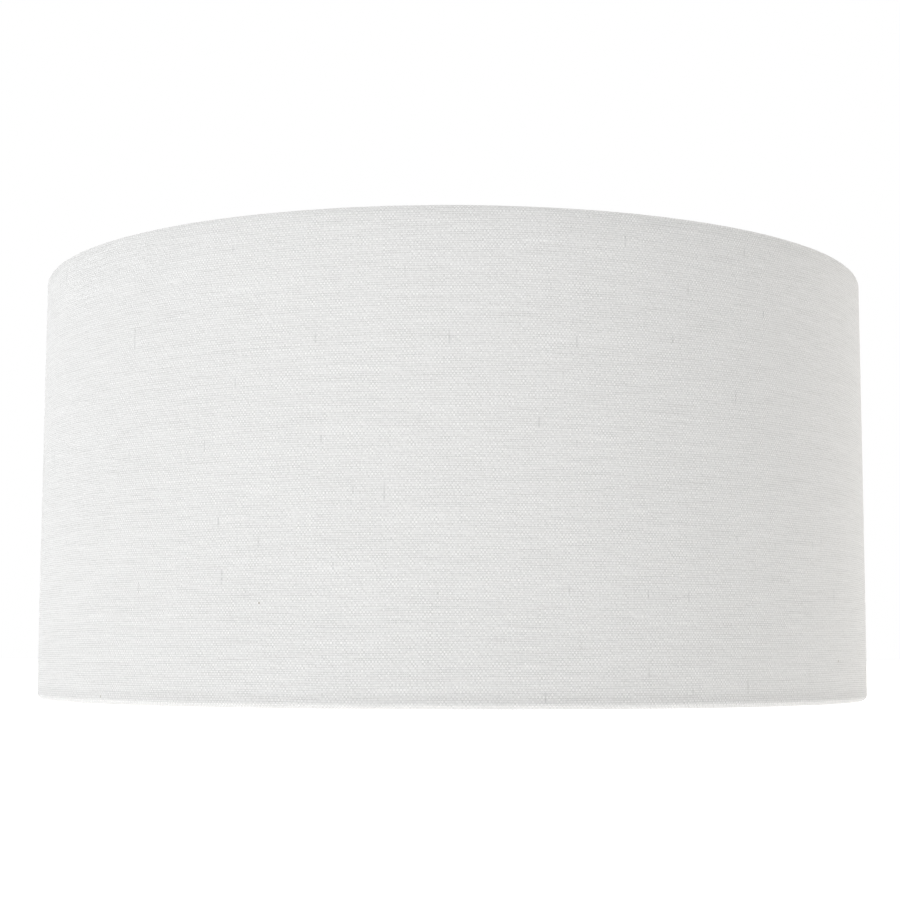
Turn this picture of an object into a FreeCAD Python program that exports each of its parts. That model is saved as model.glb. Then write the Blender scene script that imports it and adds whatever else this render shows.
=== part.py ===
"""Drum lamp shade: linen laminated on a plastic panel, rolled over two wire rings,
with a recessed three-arm carrier and a loose reducer ring.

Millimetres, +Z up, origin at the centre of the circle that the lower rim stands on.
The lap seam is at the back (+Y), where the first carrier arm also is.
"""

import FreeCAD, Part
import math
import os

from FreeCAD import Vector

# Driving dimensions
shade_diameter = 400.0
shade_height = 200.0
ring_wire_diameter = 4.0
arm_wire_diameter = 3.5
arm_count = 3
carrier_drop = 18.5
edison_bore_diameter = 42.0
bayonet_bore_diameter = 29.0

# Sheet thicknesses
cloth_thickness = 0.45
panel_thickness = 0.3
ring_tape_thickness = 0.2
seam_tape_thickness = 0.1

# Lap seam: angles are in degrees round the drum, from +X towards +Y
seam_angle = 90.0
lap_width = 11.0
ramp_width = 10.0
ramp_clearance = 1.5
seam_tape_margin = 0.8

# Rolled rims
hem_flat_depth = 0.15
ring_tape_half_angle = 50.0

# Carrier: bent arms, pressed ring and the reducer that drops into it
arm_level_run = 8.0
arm_bend_radius = 7.0
arm_slope = 45.0
arm_seat_depth = 0.5
arm_tip_gap = 0.8
arm_slot_clearance = 0.3
plate_thickness = 1.2
plate_width = 8.0
plate_edge_radius = 0.35
collar_height = 4.0

reducer_seat_gap = 0.1
reducer_bore_clearance = 0.4
reducer_flange_thickness = 1.6
reducer_flange_overlap = 3.0
reducer_barrel_wall = 1.2
reducer_barrel_height = 5.0
reducer_collar_wall = 1.4
reducer_collar_height = 3.5
reducer_edge = 0.3
reducer_rib_count = 6
reducer_rib_width = 1.2
reducer_rib_height = 2.5
reducer_rib_root = 0.4
reducer_notch_count = 2
reducer_notch_width = 9.0
reducer_notch_depth = 1.3
reducer_notch_run_out = 0.2

# Derived radii of the wall, from the outside inwards
cloth_outer = shade_diameter / 2
panel_outer = cloth_outer - cloth_thickness
panel_inner = panel_outer - panel_thickness
lap_lift = panel_thickness + cloth_thickness + seam_tape_thickness

# Derived ring and rim sizes: the taped ring touches the panel's inner face
ring_wire_radius = ring_wire_diameter / 2
ring_radius = panel_inner - ring_tape_thickness - ring_wire_radius
hem_outer = cloth_outer - ring_radius
hem_inner = panel_outer - ring_radius
ring_low = hem_outer - hem_flat_depth
ring_high = shade_height - ring_low

# Derived carrier sizes
arm_radius = arm_wire_diameter / 2
arm_low = ring_high - carrier_drop
plate_bottom = arm_low + arm_radius - arm_seat_depth
plate_top = plate_bottom + plate_thickness
bore_radius = edison_bore_diameter / 2
collar_outer = bore_radius + plate_thickness
plate_outer = bore_radius + plate_width

Z_AXIS = Vector(0, 0, 1)
CENTRE = Vector(0, 0, 0)


def polar(radius, degrees, z=0.0):
    """The point at this radius and angle round the drum's axis."""
    angle = math.radians(degrees)
    return Vector(radius * math.cos(angle), radius * math.sin(angle), z)


def meridian(centre_r, centre_z, radius, degrees):
    """A point on a circle drawn in the XZ plane, as (r, 0, z)."""
    angle = math.radians(degrees)
    return Vector(centre_r + radius * math.cos(angle), 0, centre_z + radius * math.sin(angle))


def line(start, end):
    return Part.makeLine(start, end)


def arc(start, middle, end):
    return Part.Arc(start, middle, end).toShape()


def solid_of_revolution(edges):
    """Turns a closed outline in the XZ plane about the drum's axis."""
    face = Part.Face(Part.Wire(edges))
    return face.revolve(CENTRE, Z_AXIS, 360)


def turned_polygon(points):
    """A turned solid whose section is the polygon through these (r, z) points."""
    corners = [Vector(r, 0, z) for r, z in points]
    edges = [line(a, b) for a, b in zip(corners, corners[1:] + corners[:1])]
    return solid_of_revolution(edges)


def arc_degrees(length, radius):
    return math.degrees(length / radius)


# Angles of the lap: the sheet starts at sheet_start, goes once round, climbs the ramp
# just before it comes back to its own start, and ends lap_width past it.
sheet_start = seam_angle - arc_degrees(lap_width, cloth_outer) / 2
sheet_end = sheet_start + 360 + arc_degrees(lap_width, cloth_outer)
ramp_end = sheet_start + 360 - arc_degrees(ramp_clearance, cloth_outer)
ramp_start = ramp_end - arc_degrees(ramp_width, cloth_outer)


def wall_path(radius):
    """One face of a sheet seen from above: (edges from start to end, first and last point)."""
    raised = radius + lap_lift
    first = polar(radius, sheet_start)
    foot = polar(radius, ramp_start)
    head = polar(raised, ramp_end)
    last = polar(raised, sheet_end)
    edges = [
        arc(first, polar(radius, (sheet_start + ramp_start) / 2), foot),
        line(foot, head),
        arc(head, polar(raised, (ramp_end + sheet_end) / 2), last),
    ]
    return edges, first, last


def wall_sheet(inner, outer):
    """A sheet bent round the drum between two radii, with its lapped end."""
    inside, inside_first, inside_last = wall_path(inner)
    outside, outside_first, outside_last = wall_path(outer)
    closing = [line(inside_first, outside_first), line(inside_last, outside_last)]
    wire = Part.Wire(Part.__sortEdges__(inside + outside + closing))
    sheet = Part.Face(wire).extrude(Vector(0, 0, ring_high - ring_low))
    sheet.translate(Vector(0, 0, ring_low))
    return sheet


def hem_roll():
    """The cloth rolled round the lower ring: over the rim, round the wire and tucked
    back against the panel, with a narrow flat where it stands."""
    flat_angle = math.degrees(math.asin(ring_low / hem_outer))
    tuck = panel_inner - ring_radius
    tuck_outer_angle = math.degrees(math.acos(tuck / hem_outer))
    tuck_inner_angle = math.degrees(math.acos(tuck / hem_inner))
    outer_end = tuck_outer_angle - 360
    inner_end = tuck_inner_angle - 360

    def on_outer(degrees):
        return meridian(ring_radius, ring_low, hem_outer, degrees)

    def on_inner(degrees):
        return meridian(ring_radius, ring_low, hem_inner, degrees)

    edges = [
        arc(on_outer(0), on_outer(-flat_angle / 2), on_outer(-flat_angle)),
        line(on_outer(-flat_angle), on_outer(flat_angle - 180)),
        arc(on_outer(flat_angle - 180), on_outer(-180), on_outer(-270)),
        arc(on_outer(-270), on_outer((outer_end - 270) / 2), on_outer(outer_end)),
        line(on_outer(outer_end), on_inner(inner_end)),
        arc(on_inner(inner_end), on_inner((inner_end - 180) / 2), on_inner(-180)),
        arc(on_inner(-180), on_inner(-90), on_inner(0)),
        line(on_inner(0), on_outer(0)),
    ]
    return solid_of_revolution(edges)


def mirrored_to_top(shape):
    return shape.mirror(Vector(0, 0, shade_height / 2), Z_AXIS)


def arm_angles():
    return [seam_angle + 360.0 / arm_count * i for i in range(arm_count)]


def arm_slot(degrees):
    """The snip in the upper hem that an arm passes through."""
    slot = Part.makeCylinder(
        arm_radius + arm_slot_clearance,
        hem_outer * 2,
        polar(ring_radius - ring_wire_radius - hem_outer * 1.5, degrees, ring_high),
        polar(1, degrees),
    )
    return slot.cut(ring_wire(ring_high, ring_wire_radius + ring_tape_thickness))


def linen_cover():
    wall = wall_sheet(panel_outer, cloth_outer)
    lower_hem = hem_roll()
    upper_hem = mirrored_to_top(lower_hem)
    for degrees in arm_angles():
        upper_hem = upper_hem.cut(arm_slot(degrees))
    return wall.fuse([lower_hem, upper_hem])


def backing_panel():
    return wall_sheet(panel_inner, panel_outer)


def seam_tape():
    """Double-sided tape between the two layers of the lap."""
    margin = arc_degrees(seam_tape_margin, cloth_outer)
    start = sheet_start + margin
    end = sheet_end - 360 - margin
    middle = (start + end) / 2
    inner = cloth_outer
    outer = cloth_outer + seam_tape_thickness
    edges = [
        arc(polar(inner, start), polar(inner, middle), polar(inner, end)),
        line(polar(inner, end), polar(outer, end)),
        arc(polar(outer, end), polar(outer, middle), polar(outer, start)),
        line(polar(outer, start), polar(inner, start)),
    ]
    tape = Part.Face(Part.Wire(edges)).extrude(
        Vector(0, 0, ring_high - ring_low - 2 * seam_tape_margin)
    )
    tape.translate(Vector(0, 0, ring_low + seam_tape_margin))
    return tape


def ring_wire(height, wire_radius):
    return Part.makeTorus(ring_radius, wire_radius, Vector(0, 0, height), Z_AXIS)


def ring_tape(height):
    """Double-sided tape on the outer side of a ring, where the panel is stuck to it."""
    outer = ring_wire_radius + ring_tape_thickness

    def on_wire(degrees):
        return meridian(ring_radius, height, ring_wire_radius, degrees)

    def on_tape(degrees):
        return meridian(ring_radius, height, outer, degrees)

    low = -ring_tape_half_angle
    high = ring_tape_half_angle
    return solid_of_revolution(
        [
            arc(on_wire(low), on_wire(0), on_wire(high)),
            line(on_wire(high), on_tape(high)),
            arc(on_tape(high), on_tape(0), on_tape(low)),
            line(on_tape(low), on_wire(low)),
        ]
    )


def arm_path():
    """The first arm's centre line in the XZ plane: level from the ring, down a slope
    between two bends, and level again to the pressed ring."""
    slope = math.radians(arm_slope)
    bend = arm_bend_radius * math.tan(slope / 2)
    along = bend * math.cos(slope)
    down = bend * math.sin(slope)
    knee = ring_radius - ring_wire_radius - arm_level_run
    ankle = knee - carrier_drop / math.tan(slope)
    tip = collar_outer + arm_tip_gap
    level_in = Vector(knee + bend, 0, ring_high)
    slope_top = Vector(knee - along, 0, ring_high - down)
    slope_foot = Vector(ankle + along, 0, arm_low + down)
    level_out = Vector(ankle - bend, 0, arm_low)

    half = arm_slope / 2
    upper_mid = meridian(knee + bend, ring_high - arm_bend_radius, arm_bend_radius, 90 + half)
    lower_mid = meridian(ankle - bend, arm_low + arm_bend_radius, arm_bend_radius, half - 90)
    return Part.Wire(
        [
            line(Vector(ring_radius, 0, ring_high), level_in),
            arc(level_in, upper_mid, slope_top),
            line(slope_top, slope_foot),
            arc(slope_foot, lower_mid, level_out),
            line(level_out, Vector(tip, 0, arm_low)),
        ]
    )


def carrier_arm(degrees):
    """A bent wire arm, coped to the ring at one end and pressed flat under the
    carrier's plate at the other."""
    path = arm_path()
    section = Part.Wire(
        Part.makeCircle(arm_radius, Vector(ring_radius, 0, ring_high), Vector(1, 0, 0))
    )
    arm = path.makePipeShell([section], True, False)
    arm = arm.cut(ring_wire(ring_high, ring_wire_radius))
    outside = Part.makeBox(
        ring_wire_diameter * 2,
        ring_wire_diameter * 2,
        ring_wire_diameter * 2,
        Vector(ring_radius, -ring_wire_diameter, ring_high - ring_wire_diameter),
    )
    arm = arm.cut(outside)
    pressed = Part.makeBox(
        plate_outer - collar_outer + arm_radius,
        arm_wire_diameter * 2,
        arm_radius,
        Vector(collar_outer, -arm_wire_diameter, plate_bottom),
    )
    arm = arm.cut(pressed)
    solids = sorted(arm.Solids, key=lambda solid: solid.Volume)
    arm = solids[-1]
    arm.rotate(CENTRE, Z_AXIS, degrees)
    return arm


def fitter_ring():
    """The pressed steel ring: a flat plate with a collar turned down round its bore."""
    edge = plate_edge_radius
    collar_bottom = plate_bottom - collar_height
    ring = turned_polygon(
        [
            (bore_radius, collar_bottom),
            (collar_outer, collar_bottom),
            (collar_outer, plate_bottom),
            (plate_outer, plate_bottom),
            (plate_outer, plate_top),
            (bore_radius, plate_top),
        ]
    )
    soft = [e for e in ring.Edges if is_circle(e, plate_outer)]
    soft += [e for e in ring.Edges if is_circle(e, bore_radius)]
    return ring.makeFillet(edge, soft)


def is_circle(edge, radius):
    """Whether the edge is a full circle of this radius round the drum's axis."""
    curve = edge.Curve
    return isinstance(curve, Part.Circle) and abs(curve.Radius - radius) < 1e-6


def reducer_body():
    """The reducer without its ribs and notches: flange, barrel and inner collar."""
    seat = plate_top + reducer_seat_gap
    top = seat + reducer_flange_thickness
    bore = bayonet_bore_diameter / 2
    barrel_outer = bore_radius - reducer_bore_clearance
    barrel_inner = barrel_outer - reducer_barrel_wall
    collar = bore + reducer_collar_wall
    flange = bore_radius + reducer_flange_overlap
    edge = reducer_edge
    barrel_bottom = seat - reducer_barrel_height
    collar_bottom = seat - reducer_collar_height
    return turned_polygon(
        [
            (bore, collar_bottom + edge),
            (bore + edge, collar_bottom),
            (collar, collar_bottom),
            (collar, seat),
            (barrel_inner, seat),
            (barrel_inner, barrel_bottom),
            (barrel_outer - edge, barrel_bottom),
            (barrel_outer, barrel_bottom + edge),
            (barrel_outer, seat),
            (flange, seat),
            (flange, top - edge),
            (flange - edge, top),
            (bore + edge, top),
            (bore, top - edge),
        ]
    )


def reducer_ring():
    """The loose plastic ring that brings the carrier's bore down to a bayonet holder."""
    body = reducer_body()
    seat = plate_top + reducer_seat_gap
    collar = bayonet_bore_diameter / 2 + reducer_collar_wall
    barrel_inner = bore_radius - reducer_bore_clearance - reducer_barrel_wall
    ribs = []
    for i in range(reducer_rib_count):
        rib = Part.makeBox(
            barrel_inner - collar + 2 * reducer_rib_root,
            reducer_rib_width,
            reducer_rib_height + reducer_rib_root,
            Vector(collar - reducer_rib_root, -reducer_rib_width / 2, seat - reducer_rib_height),
        )
        rib.rotate(CENTRE, Z_AXIS, 360.0 / reducer_rib_count * (i + 0.5))
        ribs.append(rib)
    body = body.fuse(ribs).removeSplitter()
    notch_start = bore_radius + reducer_flange_overlap - reducer_notch_depth
    for i in range(reducer_notch_count):
        notch = Part.makeBox(
            reducer_notch_depth * 2,
            reducer_notch_width,
            reducer_flange_thickness * 2,
            Vector(notch_start, -reducer_notch_width / 2, seat - reducer_notch_run_out),
        )
        notch.rotate(CENTRE, Z_AXIS, 360.0 / reducer_notch_count * i)
        body = body.cut(notch)
    return body


def all_nodes():
    nodes = {
        "linen_cover": linen_cover(),
        "backing_panel": backing_panel(),
        "seam_tape": seam_tape(),
        "upper_ring": ring_wire(ring_high, ring_wire_radius),
        "lower_ring": ring_wire(ring_low, ring_wire_radius),
        "upper_ring_tape": ring_tape(ring_high),
        "lower_ring_tape": ring_tape(ring_low),
        "fitter_ring": fitter_ring(),
        "reducer_ring": reducer_ring(),
    }
    for number, degrees in enumerate(arm_angles(), start=1):
        nodes[f"carrier_arm_{number}"] = carrier_arm(degrees)
    return nodes


def export(name, shape):
    solids = shape.Solids
    whole = solids[0] if len(solids) == 1 else Part.makeCompound(solids)
    whole.exportStep(f"parts/{name}.step")
    box = whole.BoundBox
    size = f"{box.XLength:.1f} x {box.YLength:.1f} x {box.ZLength:.1f}"
    print(f"{name}: {len(solids)} solid, {whole.Volume:.1f} mm3, {size}, valid {whole.isValid()}")


os.makedirs("parts", exist_ok=True)
for node_name, node_shape in all_nodes().items():
    export(node_name, node_shape)
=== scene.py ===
import math

import bpy
import numpy as np
from mathutils import Matrix, Vector


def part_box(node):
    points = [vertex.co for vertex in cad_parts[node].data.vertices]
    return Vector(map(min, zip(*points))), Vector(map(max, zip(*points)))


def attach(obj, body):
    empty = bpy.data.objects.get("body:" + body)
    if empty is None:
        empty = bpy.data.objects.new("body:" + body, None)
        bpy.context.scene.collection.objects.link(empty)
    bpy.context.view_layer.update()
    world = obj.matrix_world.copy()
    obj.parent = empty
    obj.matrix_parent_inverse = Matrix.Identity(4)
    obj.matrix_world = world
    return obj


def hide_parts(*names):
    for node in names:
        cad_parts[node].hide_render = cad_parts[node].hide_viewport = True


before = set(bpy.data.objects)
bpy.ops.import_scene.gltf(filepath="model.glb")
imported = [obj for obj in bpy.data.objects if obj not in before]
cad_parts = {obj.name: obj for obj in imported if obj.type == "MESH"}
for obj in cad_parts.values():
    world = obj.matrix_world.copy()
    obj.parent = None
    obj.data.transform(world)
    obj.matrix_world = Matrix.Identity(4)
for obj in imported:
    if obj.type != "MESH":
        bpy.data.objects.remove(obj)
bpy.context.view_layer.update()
print("frame loaded:", ", ".join(sorted(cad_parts)))


class Wire:
    # one output of a shader node; sums on it add Math nodes
    def __init__(self, finish, socket):
        self.finish = finish
        self.socket = socket

    def maths(self, operation, *values):
        return self.finish.add("ShaderNodeMath", {"operation": operation}, dict(enumerate(values)))

    def __add__(self, other):
        return self.maths("ADD", self, other)

    def __sub__(self, other):
        return self.maths("SUBTRACT", self, other)

    def __rsub__(self, other):
        return self.maths("SUBTRACT", other, self)

    def __mul__(self, other):
        return self.maths("MULTIPLY", self, other)

    def __truediv__(self, other):
        return self.maths("DIVIDE", self, other)

    __radd__ = __add__
    __rmul__ = __mul__

    def whole(self):
        return self.maths("FLOOR", self)

    def part(self):
        return self.maths("FRACT", self)

    def sine(self):
        return self.maths("SINE", self)

    def root(self):
        return self.maths("SQRT", self)

    def atLeast(self, other):
        return self.maths("MAXIMUM", self, other)

    def over(self, other):
        return self.maths("GREATER_THAN", self, other)

    def smooth(self, low, high):
        # 0 at low, 1 at high, with a soft start and end
        settings = {"interpolation_type": "SMOOTHSTEP", "clamp": True}
        sockets = {"Value": self, "From Min": low, "From Max": high}
        return self.finish.add("ShaderNodeMapRange", settings, sockets)

    def output(self, name):
        return Wire(self.finish, self.socket.node.outputs[name])


class Finish:
    # a material put together node by node
    def __init__(self, name):
        self.material = bpy.data.materials.new(name)
        self.material.use_nodes = True
        self.tree = self.material.node_tree
        self.tree.nodes.clear()

    def add(self, kind, settings, sockets, output=0):
        # settings come first, because they decide which sockets the node has
        node = self.tree.nodes.new(kind)
        for key, value in settings.items():
            setattr(node, key, value)
        for key, value in sockets.items():
            if isinstance(value, Wire):
                self.tree.links.new(value.socket, node.inputs[key])
            else:
                node.inputs[key].default_value = value
        return Wire(self, node.outputs[output]) if node.outputs else node

    def objectPlace(self):
        return self.add("ShaderNodeTexCoord", {}, {}, "Object")

    def uvPlace(self, layer):
        return self.add("ShaderNodeUVMap", {"uv_map": layer}, {})

    def split(self, vector):
        # the three numbers of a vector
        x = self.add("ShaderNodeSeparateXYZ", {}, {0: vector}, "X")
        return x, x.output("Y"), x.output("Z")

    def join(self, x, y, z=0.0):
        return self.add("ShaderNodeCombineXYZ", {}, {"X": x, "Y": y, "Z": z})

    def noise(self, vector, scale, detail=2.0):
        return self.add("ShaderNodeTexNoise", {}, {"Vector": vector, "Scale": scale, "Detail": detail})

    def mix(self, share, low, high):
        # a colour between low and high; 6 and 7 are a Mix node's colour sockets, 2 its colour result
        sockets = {"Factor": share, 6: self.opaque(low), 7: self.opaque(high)}
        return self.add("ShaderNodeMix", {"data_type": "RGBA"}, sockets, 2)

    def whiteNoise(self, vector):
        # a random number from 0 to 1 for each whole place
        return self.add("ShaderNodeTexWhiteNoise", {"noise_dimensions": "2D"}, {"Vector": vector})

    def scale(self, colour, factor):
        # a colour made lighter or darker by a factor that varies
        sockets = {"Vector": colour, "Scale": factor}
        return self.add("ShaderNodeVectorMath", {"operation": "SCALE"}, sockets)

    def opaque(self, colour):
        return colour if isinstance(colour, Wire) else (*colour, 1.0)

    def bump(self, height, strength, distance):
        return self.add("ShaderNodeBump", {}, {"Height": height, "Strength": strength, "Distance": distance})

    def surface(self, sockets):
        shader = self.add("ShaderNodeBsdfPrincipled", {}, sockets, "BSDF")
        self.add("ShaderNodeOutputMaterial", {}, {"Surface": shader})
        return self.material


# sizes read off the frame, in metres; the arms' angles are in degrees from +X
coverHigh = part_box("linen_cover")[1]
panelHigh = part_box("backing_panel")[1]
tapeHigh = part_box("lower_ring_tape")[1]
wireLow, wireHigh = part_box("lower_ring")
drum = {
    "radius": coverHigh.x,
    "height": coverHigh.z,
    "clothThickness": coverHigh.x - panelHigh.x,
    "panelThickness": panelHigh.x - tapeHigh.x,
    "lapLift": coverHigh.y - coverHigh.x,
    "ringLevel": (wireHigh.z + wireLow.z) / 2,
    "ringRadius": wireHigh.x - (wireHigh.z - wireLow.z) / 2,
    "armAngles": [90.0, 210.0, 330.0],
}

# the lap seam at the back, in metres along the wall; the angle is in degrees from +X, and foldStart and
# foldFull are how far before its end the cloth starts to thicken and is as thick as its fold
seam = {
    "angle": 90.0,
    "lapWidth": 0.011,
    "rampWidth": 0.010,
    "rampGap": 0.0015,
    "foldBeyondPanel": 0.0009,
    "foldThickness": 0.00075,
    "foldStart": 0.0018,
    "foldFull": 0.0009,
}


def smoothStep(values, low, high):
    # 0 at low, 1 at high, and in between three times the share's square less twice its cube
    share = np.clip((values - low) / (high - low), 0, 1)
    return share * share * (3 - 2 * share)


def ripple(angles, waves, seed):
    # sum of cosines of whole numbers of waves round the drum, with seeded phases, scaled to about +-1
    phases = np.random.default_rng(seed).uniform(0, 2 * math.pi, len(waves))
    total = sum(np.cos(n * angles + p) for n, p in zip(waves, phases))
    return total / math.sqrt(len(waves))


def crowdedColumns(end, step, crowds, fineSteps=60000):
    # places from 0 to end, step apart, and closer near each crowd (place, half width, its own step): the
    # number of columns per metre is summed along the sheet, and a column stands at each whole number
    fine = np.linspace(0, end, fineSteps)
    density = np.full(fine.shape, 1 / step)
    for place, width, ownStep in crowds:
        density += np.exp(-((fine - place) / width) ** 4) / ownStep
    count = np.concatenate([[0], np.cumsum((density[1:] + density[:-1]) / 2 * np.diff(fine))])
    return np.interp(np.linspace(0, count[-1], int(count[-1]) + 1), count, fine)


# the sheet starts half a lap before the seam's angle and runs once round and half a lap past it
turn = 2 * math.pi * drum["radius"]
startAngle = math.radians(seam["angle"]) - seam["lapWidth"] / 2 / drum["radius"]
sheetLength = turn + seam["lapWidth"]
rampEnd = turn - seam["rampGap"]
rampStart = rampEnd - seam["rampWidth"]
rampMiddle = (rampStart + rampEnd) / 2


def wallLift(along):
    # how far the sheet stands out where it climbs over its own start: 0, a straight ramp, then the full lap
    return drum["lapLift"] * np.clip((along - rampStart) / (rampEnd - rampStart), 0, 1)


def edgeRound(along, length, startHalf, endHalf):
    # how far both faces close in on the sheet's middle, so that its two ends are half round
    nearStart = np.clip(1 - along / startHalf, 0, 1)
    nearEnd = np.clip(1 - (length - along) / endHalf, 0, 1)
    return startHalf * (1 - np.sqrt(1 - nearStart**2)) + endHalf * (1 - np.sqrt(1 - nearEnd**2))


def makeSkin(name, outer, inner, weave):
    # a closed sheet from two grids of points, (columns, rows, 3), which meet in the first and last columns
    columns, rows = outer.shape[:2]
    points = np.concatenate([outer.reshape(-1, 3), inner.reshape(-1, 3)])
    outerIndex = np.arange(columns * rows).reshape(columns, rows)
    innerIndex = outerIndex + columns * rows
    innerIndex[[0, -1]] = outerIndex[[0, -1]]

    def patch(index):
        corners = [index[:-1, :-1], index[1:, :-1], index[1:, 1:], index[:-1, 1:]]
        return np.stack(corners, axis=-1).reshape(-1, 4)

    lowRim = np.stack([innerIndex[:, 0], outerIndex[:, 0]], axis=1)
    highRim = np.stack([outerIndex[:, -1], innerIndex[:, -1]], axis=1)
    faces = np.concatenate([patch(outerIndex), patch(innerIndex)[:, ::-1], patch(lowRim), patch(highRim)])
    return meshPiece(name, points, faces, np.concatenate([weave.reshape(-1, 2)] * 2))


creaseAngle = 50.0  # degrees, past which an edge is shaded as a sharp one


def meshPiece(name, points, faces, weave=None):
    # a smooth-shaded mesh object; corners that a face names twice are dropped, and so are unused points
    used, faces = np.unique(faces, return_inverse=True)
    faces = faces.reshape(-1, 4)
    corners = [list(dict.fromkeys(face)) for face in faces.tolist()]
    mesh = bpy.data.meshes.new(name)
    mesh.from_pydata(points[used].tolist(), [], [c for c in corners if len(c) > 2])
    if weave is not None:
        layer = mesh.uv_layers.new(name="weave")
        loops = np.zeros(len(mesh.loops), np.int32)
        mesh.loops.foreach_get("vertex_index", loops)
        layer.data.foreach_set("uv", weave[used][loops].astype(np.float32).ravel())
    mesh.polygons.foreach_set("use_smooth", np.ones(len(mesh.polygons), bool))
    mesh.set_sharp_from_angle(angle=math.radians(creaseAngle))
    mesh.update()
    piece = bpy.data.objects.new(name, mesh)
    bpy.context.scene.collection.objects.link(piece)
    return piece


def roundDrum(angles, radii, heights):
    # points at these angles, radii and heights, all of the same shape
    return np.stack([radii * np.cos(angles), radii * np.sin(angles), heights], axis=-1)


# metres, but the snip's angle is in degrees, and innerFull, insideStart and insideFull are shares of the half
# turn from the wall to the ring's inner side; lapAtInside is the share of the lap's lift that is left there,
# and a crowd is the half width of a stretch with more columns, and their own step
coverShape = {
    "columnStep": 0.00165,
    "foldCrowd": (0.0011, 0.00007),
    "startCrowd": (0.0006, 0.00015),
    "rampCrowd": (0.007, 0.0012),
    "snipCrowd": (0.0042, 0.00042),
    "hemRows": 19,
    "wallRows": 8,
    "hemBottomRadius": 0.0028,
    "hemInnerRadius": 0.00258,
    "innerFull": 0.95,
    "insideStart": 0.45,
    "insideFull": 0.9,
    "hemUneven": 0.00007,
    "hemUnevenWaves": [3, 5, 8, 13, 21, 34],
    "hemUnevenOutside": 0.3,
    "puckerDepth": 0.000055,
    "puckerWaves": [61, 83, 97, 113, 131],
    "puckerGroups": [7, 11, 17],
    "wallUneven": 0.00022,
    "wallUnevenWaves": [2, 3, 5],
    "lapAtInside": 0.45,
    "floorGap": 0.00001,
    "snipHalfWidth": 0.0021,
    "snipFlare": 0.0014,
    "snipAngle": 128.0,
    "seed": 7,
}


def wallSway(angles, heights):
    # how far the wall stands out of a true cylinder: a ripple round the drum that fades to none at the rings
    level = drum["ringLevel"]
    bow = np.sin(math.pi * (heights - level) / (drum["height"] - 2 * level))
    waves = ripple(angles, coverShape["wallUnevenWaves"], coverShape["seed"] + 3)
    return waves[:, None] * bow * coverShape["wallUneven"]


def hemReach(shape, turned):
    # the wire's centre to the cloth's outer face, for a turn of 0 at the wall, a quarter under the rim
    # and a half on the ring's inner side: it shrinks smoothly over the first quarter and again over the next
    full = drum["radius"] - drum["ringRadius"]
    bottom, inner = shape["hemBottomRadius"], shape["hemInnerRadius"]
    under = full + (bottom - full) * smoothStep(turned, 0, math.pi / 2)
    return under + (inner - bottom) * smoothStep(turned, math.pi / 2, math.pi * shape["innerFull"])


def tuckAngle(shape):
    # where the rolled cloth comes back to the panel's inner face
    gap = drum["radius"] - drum["clothThickness"] - drum["panelThickness"] - drum["ringRadius"]
    return 2 * math.pi - math.acos(gap / shape["hemInnerRadius"])


def hemRows(shape, angles, seed, snipped):
    # turned: how far round the wire each row is, from the tucked edge to the wall; the cloth's reach from
    # the wire is the profile's, with a slow unevenness, and on the inner side with groups of small puckers
    rows = np.linspace(1, 0, shape["hemRows"])
    tuck = np.full(angles.shape, tuckAngle(shape))
    for arm in drum["armAngles"] if snipped else []:
        # round each arm the cloth is snipped from its tucked edge nearly up to the top of the ring
        off = np.abs((angles - math.radians(arm) + math.pi) % (2 * math.pi) - math.pi) * drum["ringRadius"]
        closeness = 1 - smoothStep(off, shape["snipHalfWidth"], shape["snipHalfWidth"] + shape["snipFlare"])
        tuck = tuck + (math.radians(shape["snipAngle"]) - tuck) * closeness
    turned = rows[None, :] * tuck[:, None]
    reach = hemReach(shape, turned)
    inside = smoothStep(turned, math.pi * shape["insideStart"], math.pi * shape["insideFull"])
    uneven = ripple(angles, shape["hemUnevenWaves"], seed) * shape["hemUneven"]
    puckers = ripple(angles, shape["puckerWaves"], seed + 1)
    puckers = puckers * (1 + ripple(angles, shape["puckerGroups"], seed + 2))
    outside = shape["hemUnevenOutside"]
    reach = reach + uneven[:, None] * (outside + (1 - outside) * inside)
    return turned, reach + shape["puckerDepth"] * puckers[:, None] * inside, inside


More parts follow.
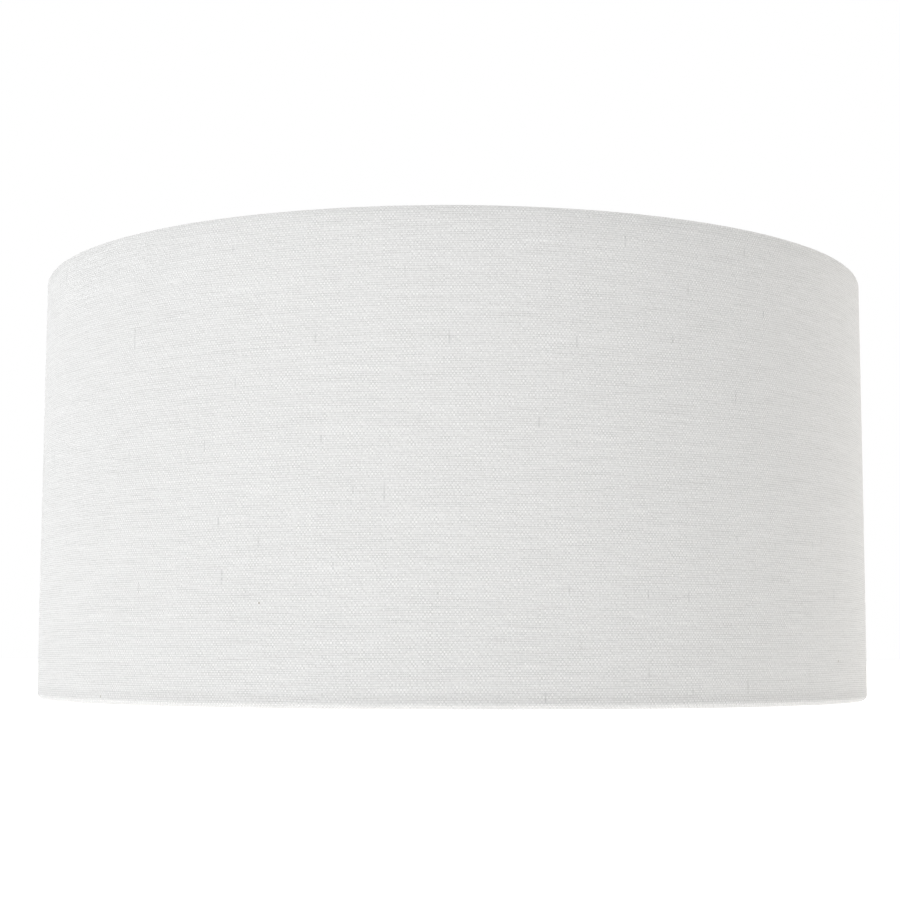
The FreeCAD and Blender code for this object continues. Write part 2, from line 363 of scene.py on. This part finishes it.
def linenCover():
    # the cloth: rows run from the tucked edge of the lower hem, round the ring, up the wall and round the
    # upper ring; columns run along the sheet from its start under the lap to the fold on top of it
    shape = coverShape
    cloth = drum["clothThickness"]
    length = sheetLength + seam["foldBeyondPanel"]
    crowds = [(length, *shape["foldCrowd"]), (0, *shape["startCrowd"]), (rampMiddle, *shape["rampCrowd"])]
    for arm in drum["armAngles"]:
        # where the lap covers an arm, both layers have a snip
        place = (math.radians(arm) - startAngle) % (2 * math.pi) * drum["radius"]
        for copy in (place, place + turn):
            if copy < length:
                crowds.append((copy, *shape["snipCrowd"]))
    along = crowdedColumns(length, shape["columnStep"], crowds)
    angles = startAngle + along / drum["radius"]
    folded = smoothStep(along, length - seam["foldStart"], length - seam["foldFull"])
    thick = cloth + (seam["foldThickness"] - cloth) * folded
    close = edgeRound(along, length, cloth / 2, seam["foldThickness"] / 2)
    lift = wallLift(along)

    def hem(seed, snipped):
        # outer and inner face round one ring, as distances out from the ring's wire and up from its level,
        # and the length of cloth from each row to the wall
        turned, reach, inside = hemRows(shape, angles, seed, snipped)
        lapped = lift[:, None] * (1 - (1 - shape["lapAtInside"]) * inside)
        outer = reach + lapped - close[:, None]
        inner = reach + lapped - thick[:, None] + close[:, None]
        steps = -np.diff(turned, axis=1) * (reach[:, 1:] + reach[:, :-1]) / 2
        run = np.cumsum(np.pad(steps, ((0, 0), (0, 1)))[:, ::-1], axis=1)[:, ::-1]
        return [(face * np.cos(turned), -face * np.sin(turned)) for face in (outer, inner)], run

    lowFaces, lowRun = hem(shape["seed"], False)
    highFaces, highRun = hem(shape["seed"] + 10, True)
    level = drum["ringLevel"]
    heights = np.linspace(level, drum["height"] - level, shape["wallRows"] + 2)[1:-1]
    wallOuter = drum["radius"] + lift[:, None] - close[:, None] + wallSway(angles, heights)
    wallInner = wallOuter - thick[:, None] + 2 * close[:, None]
    skins = []
    for (lowOut, lowUp), wall, (highOut, highUp) in zip(lowFaces, (wallOuter, wallInner), highFaces):
        below, above = drum["ringRadius"] + lowOut, drum["ringRadius"] + highOut[:, ::-1]
        radii = np.concatenate([below, wall, above], axis=1)
        lower = np.maximum(level + lowUp, shape["floorGap"])
        upper = drum["height"] - level - highUp[:, ::-1]
        middle = np.broadcast_to(heights, wall.shape)
        tall = np.concatenate([lower, middle, upper], axis=1)
        skins.append(roundDrum(np.broadcast_to(angles[:, None], radii.shape), radii, tall))
    wallRun = np.broadcast_to(heights, wallOuter.shape)
    upRun = np.concatenate([level - lowRun, wallRun, drum["height"] - level + highRun[:, ::-1]], axis=1)
    weave = np.stack([np.broadcast_to(along[:, None], upRun.shape), upRun], axis=-1)
    piece = makeSkin("linenCover", skins[0], skins[1], weave)
    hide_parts("linen_cover")
    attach(piece, "shade")
    return piece


# metres; edgeGap is left free at both faces, and endRound is the share of a half round that the ends have
liningShape = {
    "columnStep": 0.0021,
    "endCrowd": (0.0005, 0.00006),
    "rampCrowd": (0.007, 0.0012),
    "rows": 12,
    "edgeGap": 0.00002,
    "endRound": 0.98,
}


def liningPanel():
    # the stiff panel inside the cloth, along the same path as the cloth, cut off level with the rings' wires
    shape = liningShape
    half = drum["panelThickness"] / 2
    crowds = [(sheetLength, *shape["endCrowd"]), (0, *shape["endCrowd"]), (rampMiddle, *shape["rampCrowd"])]
    along = crowdedColumns(sheetLength, shape["columnStep"], crowds)
    angles = startAngle + along / drum["radius"]
    close = edgeRound(along, sheetLength, half, half)
    heights = np.linspace(drum["ringLevel"], drum["height"] - drum["ringLevel"], shape["rows"])
    sway = wallSway(angles, heights)
    middle = drum["radius"] - drum["clothThickness"] - half + wallLift(along)[:, None] + sway
    spread = (half - shape["edgeGap"] - close * shape["endRound"])[:, None]
    spread[[0, -1]] = 0
    tall = np.broadcast_to(heights, middle.shape)
    around = np.broadcast_to(angles[:, None], middle.shape)
    outer, inner = (roundDrum(around, middle + side * spread, tall) for side in (1, -1))
    weave = np.stack([np.broadcast_to(along[:, None], tall.shape), tall], axis=-1)
    piece = makeSkin("liningPanel", outer, inner, weave)
    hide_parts("backing_panel")
    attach(piece, "shade")
    return piece


# pitches, reaches and depths are in metres, drifts and crowding in threads, widths and heights in shares of a
# pitch or of a thread, and tones in shares of shadeDepth
linenLook = {
    "warpPitch": 0.000703,
    "weftPitch": 0.000906,
    "warpDrift": 1.6,
    "weftDrift": 1.8,
    "warpCrowding": 0.7,
    "weftCrowding": 0.5,
    "warpWidth": 0.92,
    "weftWidth": 0.86,
    "widthVaries": 0.5,
    "warpSlubWidth": 0.2,
    "weftSlubWidth": 0.25,
    "warpWaveHeight": 0.46,
    "weftWaveHeight": 0.32,
    "warpSlubHeight": 0.12,
    "weftSlubHeight": 0.2,
    # warp and weft are the same yarn; their two colours are painted shade on the warp crowns and painted
    # light on the weft crowns
    "warpThreadShaded": (0.723, 0.716, 0.706),
    "weftThreadLit": (0.817, 0.810, 0.800),
    "shadeDepth": 0.10,
    "warpTone": 1.0,
    "weftTone": 1.6,
    "crossingTone": 1.2,
    "fibreTone": 0.6,
    "cloudTone": 0.1,
    "slubTone": 0.25,
    "sunkShade": 1.5,
    # painted shade in the gaps between threads, and deeper painted shade where the weft has opened
    "gap": (0.62, 0.617, 0.60),
    "gapDeepShade": (0.40, 0.397, 0.38),
    "gapShadeHeight": 0.62,
    "fleck": (0.40, 0.36, 0.30),
    "fleckStrength": 0.8,
    "fleckRarity": 0.99997,
    "ringShadow": 0.055,
    "ringShadowReach": 0.0042,
    "ringShadowShares": (0.3, 0.67, 1.0, 1.7),
    "upperRingShare": 0.4,
    "roughness": 0.88,
    "specular": 0.25,
    "sheen": 0.03,
    "sheenRoughness": 0.6,
    "weaveDepth": 0.00016,
    "fibreHeight": 0.12,
    "bumpStrength": 0.4,
}

# each noise on the cloth: cells per metre along the sheet and up it, a layer of its own, and detail; a noise
# that belongs to single threads has cells per thread in place of the length across them
linenNoise = {
    "drift": (9.0, 9.0, 0.0, 1.0),
    "driftUp": (14.0, 14.0, 5.0, 2.0),
    "crowdWarp": (420.0, 22.0, 13.0, 1.0),
    "crowdWeft": (22.0, 600.0, 15.0, 1.0),
    "warpSpun": (3.71, 45.0, 0.0, 3.0),
    "weftSpun": (28.0, 4.37, 3.0, 3.0),
    "warpSlub": (7.13, 60.0, 11.0, 1.0),
    "weftSlub": (32.0, 5.91, 17.0, 1.0),
    "sunk": (9.37, 50.0, 37.0, 1.0),
    "opened": (90.0, 3.3, 23.0, 2.0),
    "fibre": (5200.0, 1500.0, 0.0, 2.0),
    "clouds": (30.0, 30.0, 9.0, 3.0),
}

# the noise values at which these start and are full; the higher they are, the rarer the thing is
linenPeaks = {
    "warpSlub": (0.68, 0.80),
    "weftSlub": (0.66, 0.78),
    "sunk": (0.73, 0.78),
    "opened": (0.4, 0.62),
}


def linenFinish():
    # plain weave from the sheet's own lengths: each thread is a rounded bar that goes over and under in turn
    look = linenLook
    f = Finish("linen")
    u, v, _ = f.split(f.uvPlace("weave"))

    def clothNoise(name, x, y):
        along, up, layer, detail = linenNoise[name]
        return f.noise(f.join(x * along, y * up, layer), 1.0, detail)

    def clothPeaks(name, x, y):
        return clothNoise(name, x, y).smooth(*linenPeaks[name])

    # a and b count threads: they drift over the whole drum, and crowd and thin out from thread to thread
    drift = clothNoise("drift", u, v) - 0.5
    driftUp = clothNoise("driftUp", u, v) - 0.5
    crowdWarp = clothNoise("crowdWarp", u, v) - 0.5
    crowdWeft = clothNoise("crowdWeft", u, v) - 0.5
    a = u / look["warpPitch"] + drift * look["warpDrift"] + crowdWarp * look["warpCrowding"]
    b = v / look["weftPitch"] + driftUp * look["weftDrift"] + crowdWeft * look["weftCrowding"]
    warp, weft = a.whole(), b.whole()

    # thread by thread: thickness that changes along each one, with thick slubs here and there
    warpSpun = clothNoise("warpSpun", warp, v) - 0.5
    weftSpun = clothNoise("weftSpun", u, weft) - 0.5
    warpSlub = clothPeaks("warpSlub", warp, v)
    weftSlub = clothPeaks("weftSlub", u, weft)
    warpWide = look["warpWidth"] + warpSpun * look["widthVaries"] + warpSlub * look["warpSlubWidth"]
    weftWide = look["weftWidth"] + weftSpun * look["widthVaries"] + weftSlub * look["weftSlubWidth"]

    # how high each thread stands: a round section, times a wave that takes it over and under the others
    acrossWarp = (a.part() - 0.5) * 2.0 / warpWide
    acrossWeft = (b.part() - 0.5) * 2.0 / weftWide
    warpCrown = (1.0 - acrossWarp * acrossWarp).atLeast(0.0).root()
    weftCrown = (1.0 - acrossWeft * acrossWeft).atLeast(0.0).root()
    warpWave = ((b + warp) * math.pi).sine()
    weftWave = 0.0 - ((a + weft) * math.pi).sine()
    warpRest, weftRest = 1.0 - look["warpWaveHeight"], 1.0 - look["weftWaveHeight"]
    warpHigh = warpCrown * (warpRest + warpWave * look["warpWaveHeight"])
    weftHigh = weftCrown * (weftRest + weftWave * look["weftWaveHeight"])
    warpHigh = warpHigh + warpSlub * look["warpSlubHeight"] * warpCrown
    weftHigh = weftHigh + weftSlub * look["weftSlubHeight"] * weftCrown
    height = warpHigh.atLeast(weftHigh)
    onTop = warpHigh.over(weftHigh)

    # every thread has its own shade, fibres streak it, and clouds go over the whole cloth
    fibre = clothNoise("fibre", u, v)
    clouds = clothNoise("clouds", u, v)
    threadTone = warpSpun * onTop * look["warpTone"] + weftSpun * (1.0 - onTop) * look["weftTone"]

    # a crossing that swells squeezes its neighbours, so its tone is taken against theirs
    beside = f.whiteNoise(f.join(warp + 1.0, weft))
    above = f.whiteNoise(f.join(warp, weft + 1.0))
    crossing = f.whiteNoise(f.join(warp, weft)) - (beside + above) * 0.5
    tone = threadTone + crossing * look["crossingTone"]
    tone = tone + (fibre - 0.5) * look["fibreTone"] + (clouds - 0.5) * look["cloudTone"]

    # slubs are lighter, and here and there a warp thread lies low between its neighbours and gets painted
    # shade
    sunk = clothPeaks("sunk", warp, v)
    slub = warpSlub * onTop + weftSlub * (1.0 - onTop)
    tone = tone + slub * look["slubTone"] - sunk * look["sunkShade"]
    # the colour of a crossing: painted shade where the warp is on top, painted light where the weft is
    body = f.mix(onTop, look["weftThreadLit"], look["warpThreadShaded"])

    # a painted shadow darkens the colour where a ring and the tucked cloth are behind the wall, standing in
    # for the light that
    # the wall lets through elsewhere: above the lower rim the painted shadow begins, is full, starts to fade
    # and ends at these heights, and at the upper one it stays
    reach = look["ringShadowReach"]
    begins, full, fades, ends = (reach * share for share in look["ringShadowShares"])
    behindLow = v.smooth(begins, full) - v.smooth(fades, ends)
    behindHigh = v.smooth(drum["height"] - ends, drum["height"] - fades)
    ringShadow = behindLow * look["ringShadow"] + behindHigh * look["ringShadow"] * look["upperRingShare"]
    body = f.scale(body, 1.0 + tone * look["shadeDepth"] - ringShadow)

    # rare dark flecks, and painted shade in the gaps between the threads that is deeper where the weft has
    # opened
    flecks = f.whiteNoise(f.join(warp + 0.5, weft + 0.5)).over(look["fleckRarity"])
    body = f.mix(flecks * look["fleckStrength"], body, look["fleck"])
    opened = clothPeaks("opened", u, (b + 0.5).whole())
    gap = f.mix(opened, look["gap"], look["gapDeepShade"])
    return f.surface(
        {
            # below this thread height the colour is the gaps' painted shade
            "Base Color": f.mix(height.smooth(0.0, look["gapShadeHeight"]), gap, body),
            "Roughness": look["roughness"],
            "Normal": f.bump(height + fibre * look["fibreHeight"], look["bumpStrength"], look["weaveDepth"]),
            "Specular IOR Level": look["specular"],
            "Sheen Weight": look["sheen"],
            "Sheen Roughness": look["sheenRoughness"],
        }
    )


liningLook = {
    "colour": (0.86, 0.86, 0.85),
    "shade": (0.83, 0.83, 0.818),
    "roughness": 0.42,
    "roughnessVaries": 0.2,
    "specular": 0.45,
    "grainScale": 2600.0,
    "grainDepth": 0.00003,
    "cloudScale": 26.0,
    "cloudHeight": 3.0,
    "streakScales": (60.0, 14.0),
    "streakShare": 0.3,
    "toneRange": (0.3, 0.7),
    "bumpStrength": 0.35,
}


def liningFinish():
    # white plastic film: a fine calendered grain, with soft clouds where the laminating glue lies behind it
    look = liningLook
    f = Finish("liningFilm")
    u, v, _ = f.split(f.uvPlace("weave"))
    grain = f.noise(f.join(u, v), look["grainScale"], 2.0)
    clouds = f.noise(f.join(u, v, 2.0), look["cloudScale"], 3.0)
    alongScale, upScale = look["streakScales"]
    streaks = f.noise(f.join(u * alongScale, v * upScale, 4.0), 1.0, 3.0)
    tone = clouds * (1.0 - look["streakShare"]) + streaks * look["streakShare"]
    relief = grain + clouds * look["cloudHeight"]
    return f.surface(
        {
            "Base Color": f.mix(tone.smooth(*look["toneRange"]), look["shade"], look["colour"]),
            "Roughness": look["roughness"] + (grain - 0.5) * look["roughnessVaries"],
            "Normal": f.bump(relief, look["bumpStrength"], look["grainDepth"]),
            "Specular IOR Level": look["specular"],
        }
    )


coatLook = {
    "colour": (0.84, 0.84, 0.83),
    "shade": (0.80, 0.80, 0.787),
    "roughness": 0.34,
    "roughnessVaries": 0.15,
    "peelScale": 1100.0,
    "peelDepth": 0.00002,
    "runScale": 45.0,
    "toneRange": (0.35, 0.65),
    "bumpStrength": 0.5,
    "clearCoat": 0.2,
    "clearCoatRoughness": 0.2,
}


def coatFinish():
    # white powder coat on steel wire: orange peel, and a little grey where it has run thin
    look = coatLook
    f = Finish("powderCoat")
    place = f.objectPlace()
    peel = f.noise(place, look["peelScale"], 1.0)
    runs = f.noise(place, look["runScale"], 2.0)
    return f.surface(
        {
            "Base Color": f.mix(runs.smooth(*look["toneRange"]), look["shade"], look["colour"]),
            "Roughness": look["roughness"] + (peel - 0.5) * look["roughnessVaries"],
            "Normal": f.bump(peel, look["bumpStrength"], look["peelDepth"]),
            "Coat Weight": look["clearCoat"],
            "Coat Roughness": look["clearCoatRoughness"],
        }
    )


reducerLook = {
    "colour": (0.85, 0.85, 0.84),
    "shade": (0.81, 0.81, 0.795),
    "roughness": 0.38,
    "roughnessVaries": 0.2,
    "grainScale": 3000.0,
    "grainDepth": 0.00002,
    "flowScale": 90.0,
    "toneRange": (0.3, 0.7),
    "bumpStrength": 0.4,
}


def reducerFinish():
    # moulded white plastic: a fine spark-eroded grain and faint flow marks
    look = reducerLook
    f = Finish("mouldedPlastic")
    place = f.objectPlace()
    grain = f.noise(place, look["grainScale"], 2.0)
    flow = f.noise(place, look["flowScale"], 2.0)
    return f.surface(
        {
            "Base Color": f.mix(flow.smooth(*look["toneRange"]), look["shade"], look["colour"]),
            "Roughness": look["roughness"] + (grain - 0.5) * look["roughnessVaries"],
            "Normal": f.bump(grain, look["bumpStrength"], look["grainDepth"]),
        }
    )


tapeLook = {
    "colour": (0.80, 0.79, 0.74),
    "shade": (0.72, 0.71, 0.65),
    "roughness": 0.3,
    "roughnessVaries": 0.3,
    "fibreScale": 1400.0,
    "fibreDepth": 0.00002,
    "toneRange": (0.35, 0.65),
    "bumpStrength": 0.3,
}


def tapeFinish():
    # double-sided tissue tape: short pale fibres under clear adhesive
    look = tapeLook
    f = Finish("tissueTape")
    fibres = f.noise(f.objectPlace(), look["fibreScale"], 4.0)
    return f.surface(
        {
            "Base Color": f.mix(fibres.smooth(*look["toneRange"]), look["shade"], look["colour"]),
            "Roughness": look["roughness"] + (fibres - 0.5) * look["roughnessVaries"],
            "Normal": f.bump(fibres, look["bumpStrength"], look["fibreDepth"]),
        }
    )


def wear(node, material):
    # a carried-over part takes one finish in every slot
    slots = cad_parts[node].data.materials
    for i in range(len(slots)):
        slots[i] = material


def dressFrame():
    coat, plastic, tape = coatFinish(), reducerFinish(), tapeFinish()
    wires = ("upper_ring", "lower_ring", "carrier_arm_1", "carrier_arm_2", "carrier_arm_3")
    for node in (*wires, "fitter_ring"):
        wear(node, coat)
    wear("reducer_ring", plastic)
    for node in ("seam_tape", "upper_ring_tape", "lower_ring_tape"):
        wear(node, tape)


lining = liningPanel()
lining.data.materials.append(liningFinish())
print("lining panel made:", len(lining.data.polygons), "faces")
cover = linenCover()
cover.data.materials.append(linenFinish())
print("linen cover made:", len(cover.data.polygons), "faces")
dressFrame()
print("carried-over parts finished")


# metres and watts; each lamp stands at an azimuth in degrees, clockwise from the camera's side as seen from
# above, and at a distance from the drum's axis, and it faces the drum's middle
studio = {
    "ambient": 0.165,
    "ambientColour": (1.0, 0.99, 0.96),
    "backdrop": 1.0,
    "floorSize": 8.0,
    "floorColour": (0.86, 0.86, 0.86),
    "floorMottle": 0.99,
    "floorMottleScale": 3.0,
    "floorRoughness": 0.9,
    "floorGlow": 0.9,
    "floorGlowNear": 0.68,
    "sweepStart": 0.8,
    "sweepEnd": 2.4,
}
lamps = {
    "key": {
        "azimuth": 30,
        "distance": 2.0,
        "height": 0.9,
        "size": 1.2,
        "power": 14.3,
        "colour": (0.94, 0.97, 1),
    },
    "sideLeft": {
        "azimuth": 120,
        "distance": 2.0,
        "height": 0.9,
        "size": 1.2,
        "power": 12.1,
        "colour": (0.94, 0.97, 1),
    },
    "sideRight": {
        "azimuth": -120,
        "distance": 2.0,
        "height": 0.9,
        "size": 1.2,
        "power": 14.4,
        "colour": (1, 0.98, 0.93),
    },
    "top": {
        "azimuth": 0,
        "distance": 0.01,
        "height": 2.4,
        "size": 1.6,
        "power": 33.0,
        "colour": (1, 1, 1),
    },
}


def makeLamp(name, lamp):
    # a square area lamp that lights the drum and isn't seen itself
    data = bpy.data.lights.new(name, "AREA")
    data.size = lamp["size"]
    data.energy = lamp["power"]
    data.color = lamp["colour"]
    lampObject = bpy.data.objects.new(name, data)
    azimuth = math.radians(lamp["azimuth"])
    distance = lamp["distance"]
    place = Vector((-math.sin(azimuth) * distance, -math.cos(azimuth) * distance, lamp["height"]))
    aim = Vector((0, 0, drum["height"] / 2)) - place
    lampObject.location = place
    lampObject.rotation_euler = aim.to_track_quat("-Z", "Y").to_euler()
    lampObject.visible_camera = False
    bpy.context.scene.collection.objects.link(lampObject)


def makeFloor():
    # one flat square with a very faint mottle
    half = studio["floorSize"] / 2
    points = np.array([(-half, -half, 0), (half, -half, 0), (half, half, 0), (-half, half, 0)], float)
    floor = meshPiece("floor", points, np.array([[0, 1, 2, 3]]))
    f = Finish("paleFloor")
    place = f.objectPlace()
    mottle = f.noise(place, studio["floorMottleScale"], 2.0)
    low = tuple(studio["floorMottle"] * c for c in studio["floorColour"])

    # the floor brightens away from the drum, like a sweep of paper, so that it meets the backdrop unseen
    away = f.add("ShaderNodeVectorMath", {"operation": "LENGTH"}, {0: place}, "Value")
    far = away.smooth(studio["sweepStart"], studio["sweepEnd"])
    glow = f.mix(far, (studio["floorGlowNear"],) * 3, (1.0, 1.0, 1.0))
    floor.data.materials.append(
        f.surface(
            {
                "Base Color": f.mix(mottle, low, studio["floorColour"]),
                "Roughness": studio["floorRoughness"],
                "Emission Color": glow,
                "Emission Strength": studio["floorGlow"],
            }
        )
    )


def makeWorld():
    # the drum is lit by a dimmer sky than the white one behind it
    world = bpy.data.worlds.new("studio")
    world.use_nodes = True
    nodes, links = world.node_tree.nodes, world.node_tree.links
    nodes.clear()
    mix = nodes.new("ShaderNodeMixShader")
    skies = ((studio["ambient"], studio["ambientColour"]), (studio["backdrop"], (1, 1, 1)))
    for socket, (strength, colour) in enumerate(skies, start=1):
        sky = nodes.new("ShaderNodeBackground")
        sky.inputs["Strength"].default_value = strength
        sky.inputs["Color"].default_value = (*colour, 1)
        links.new(sky.outputs[0], mix.inputs[socket])
    links.new(nodes.new("ShaderNodeLightPath").outputs["Is Camera Ray"], mix.inputs[0])
    links.new(mix.outputs[0], nodes.new("ShaderNodeOutputWorld").inputs["Surface"])
    bpy.context.scene.world = world


# distances are shares of the drum's radius, angles are in degrees, and the lens and sensor are in mm
cameraPlace = {
    "distance": 4.641,
    "height": 0.1129,
    "pitch": 6.162,
    "yaw": 0.082,
    "roll": 0.152,
    "lens": 74.6,
    "sensor": 36.0,
    "nearest": 0.01,
}


def makeCamera():
    # in front of the drum, turned by its roll, then its pitch up from level, then its yaw about the vertical
    data = bpy.data.cameras.new("camera")
    data.sensor_width = cameraPlace["sensor"]
    data.lens = cameraPlace["lens"]
    data.clip_start = cameraPlace["nearest"]
    camera = bpy.data.objects.new("camera", data)
    turned = Matrix.Rotation(math.radians(cameraPlace["yaw"]), 4, "Z")
    turned = turned @ Matrix.Rotation(math.radians(90 + cameraPlace["pitch"]), 4, "X")
    turned = turned @ Matrix.Rotation(math.radians(cameraPlace["roll"]), 4, "Z")
    place = Vector((0, -cameraPlace["distance"], cameraPlace["height"])) * drum["radius"]
    camera.matrix_world = Matrix.Translation(place) @ turned
    bpy.context.scene.collection.objects.link(camera)
    bpy.context.scene.camera = camera


makeWorld()
makeFloor()
for name, lamp in lamps.items():
    makeLamp(name, lamp)
makeCamera()
bpy.context.scene.view_settings.view_transform = "Standard"
print("floor, lamps and camera ready")
